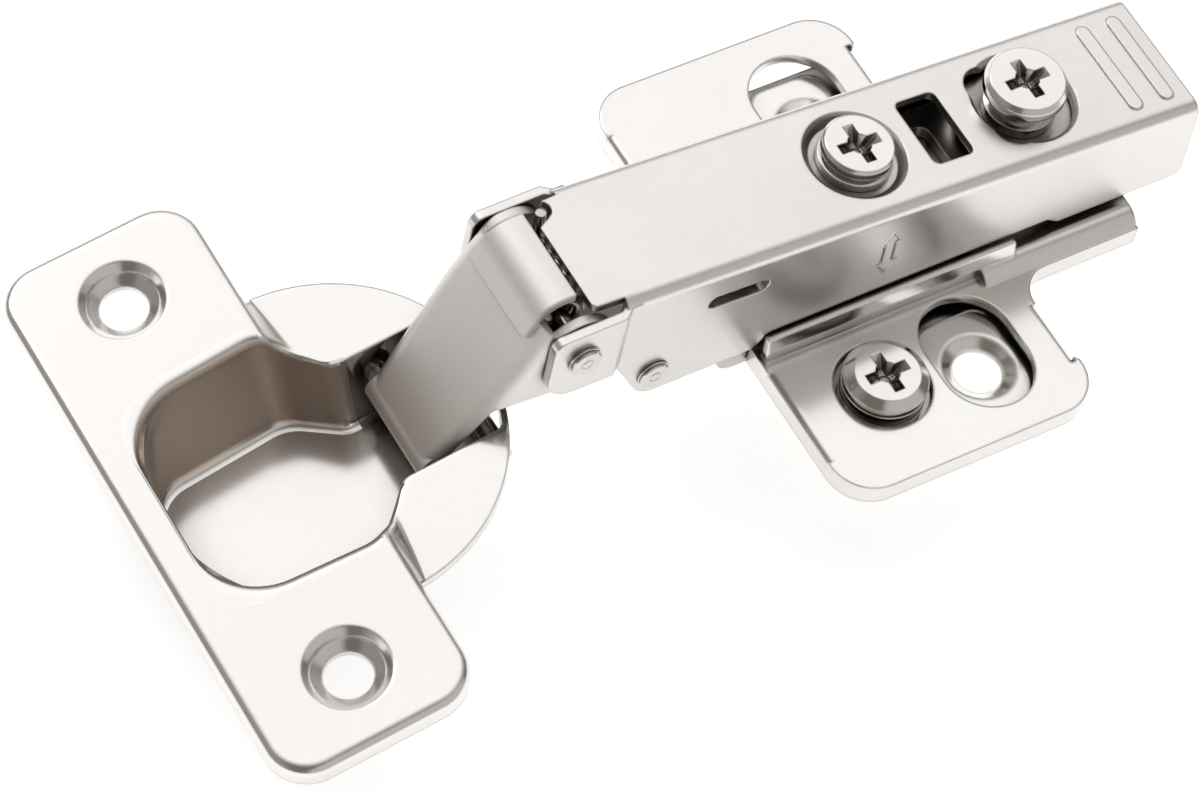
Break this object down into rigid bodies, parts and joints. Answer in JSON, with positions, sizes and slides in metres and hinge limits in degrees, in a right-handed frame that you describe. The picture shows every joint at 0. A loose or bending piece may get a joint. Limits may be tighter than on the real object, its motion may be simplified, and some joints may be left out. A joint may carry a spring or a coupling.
{
  "type": "concealed cup hinge",
  "caption": "Concealed cabinet hinge with a round cup for the door, two links, a folded arm with adjusting screws and a clip-on height-adjustable mounting plate.",
  "frame": {"origin": "midway between the lower plate's two screw holes, on the plate's underside that lies on the cabinet side", "axes": "+Z away from the cabinet side, +X along the arm from the door to its rear end, pivots along Y"},
  "size_m": [0.1142, 0.061, 0.0333],
  "materials": {
    "cup_nickel": "bright nickel plating on stamped steel",
    "arm_nickel": "bright nickel plating on folded steel",
    "link_nickel": "bright nickel plating on folded steel",
    "plate_nickel": "bright nickel plating on pressed steel",
    "screw_nickel": "bright nickel plating on turned steel",
    "pin_steel": "plated steel pin with set heads",
    "spring_wire": "drawn spring wire, thinly plated",
    "works_steel": "dull plated steel inside the arm"
  },
  "bodies": {
    "lower": {"plate_lower": "plate_nickel", "guide_rivets": "pin_steel"},
    "upper": {"plate_upper": "plate_nickel", "carrier": "works_steel", "hook_pin": "pin_steel", "latch_pin": "pin_steel"},
    "height_cam": {"height_cam_screw": "screw_nickel"},
    "latch": {"latch_lever": "works_steel", "latch_spring": "spring_wire"},
    "slide": {"adjusting_slide": "works_steel", "depth_washer": "works_steel"},
    "depth_screw": {"depth_screw": "screw_nickel"},
    "arm": {"arm": "arm_nickel", "front_rivet": "pin_steel", "rear_rivet": "pin_steel", "closing_spring": "spring_wire"},
    "overlay_screw": {"overlay_screw": "screw_nickel"},
    "outer_link": {"outer_link": "link_nickel"},
    "cup": {"cup": "cup_nickel", "outer_link_pin": "pin_steel", "inner_link_pin": "pin_steel"},
    "inner_link": {"inner_link": "link_nickel"}
  },
  "joints": [
    {"name": "height_slide", "type": "slide", "parent": "lower", "child": "upper", "axis": [0, 1, 0], "range_m": [-0.0031, 0.0009]},
    {"name": "height_cam_turn", "type": "hinge", "parent": "upper", "child": "height_cam", "pos_m": [-0.011, -0.0148, 0.003], "axis": [0, 0, 1], "range_deg": [-40.6, 139.6]},
    {"name": "latch_turn", "type": "hinge", "parent": "upper", "child": "latch", "pos_m": [0.0224, 0.0011, 0.0096], "axis": [0, -1, 0], "range_deg": [0, 15], "stiffness_Nm_per_rad": 0.02, "springref_deg": -34.38},
    {"name": "depth_slide", "type": "slide", "parent": "upper", "child": "slide", "axis": [1, 0, 0], "range_m": [-0.002, 0.002]},
    {"name": "depth_screw_turn", "type": "hinge", "parent": "slide", "child": "depth_screw", "pos_m": [0.01162, 0.0011, 0.016], "axis": [0, 0, 1], "range_deg": [-90.1, 90.1]},
    {"name": "overlay_tilt", "type": "hinge", "parent": "slide", "child": "arm", "pos_m": [0.01162, 0.0011, 0.01644], "axis": [0, 1, 0], "range_deg": [-1.5, 1.5]},
    {"name": "overlay_screw_turn", "type": "hinge", "parent": "arm", "child": "overlay_screw", "pos_m": [-0.00815, 0.0011, 0.01949], "axis": [0.0758, 0, 0.9971], "range_deg": [-233, 233]},
    {"name": "cup_turn", "type": "hinge", "parent": "outer_link", "child": "cup", "pos_m": [-0.05497, 0.0011, 0.00175], "axis": [0, 1, 0], "range_deg": [0, 135.76]},
    {"name": "link_turn", "type": "hinge", "parent": "arm", "child": "outer_link", "pos_m": [-0.04311, 0.0011, 0.01695], "axis": [0, -1, 0], "range_deg": [0, 34]},
    {"name": "inner_link_turn", "type": "hinge", "parent": "cup", "child": "inner_link", "pos_m": [-0.05049, 0.0011, 0.00596], "axis": [0, -1, 0], "range_deg": [0, 158.9]}
  ],
  "couplings": [
    {"joint": "height_cam_turn", "follows": "height_slide", "rad_per_m": -785.4},
    {"joint": "depth_screw_turn", "follows": "depth_slide", "rad_per_m": 785.4},
    {"joint": "overlay_screw_turn", "follows": "overlay_tilt", "ratio": 155.27},
    {"joint": "link_turn", "follows": "cup_turn", "ratio": 0.25},
    {"joint": "inner_link_turn", "follows": "cup_turn", "ratio": 1.1699}
  ]
}
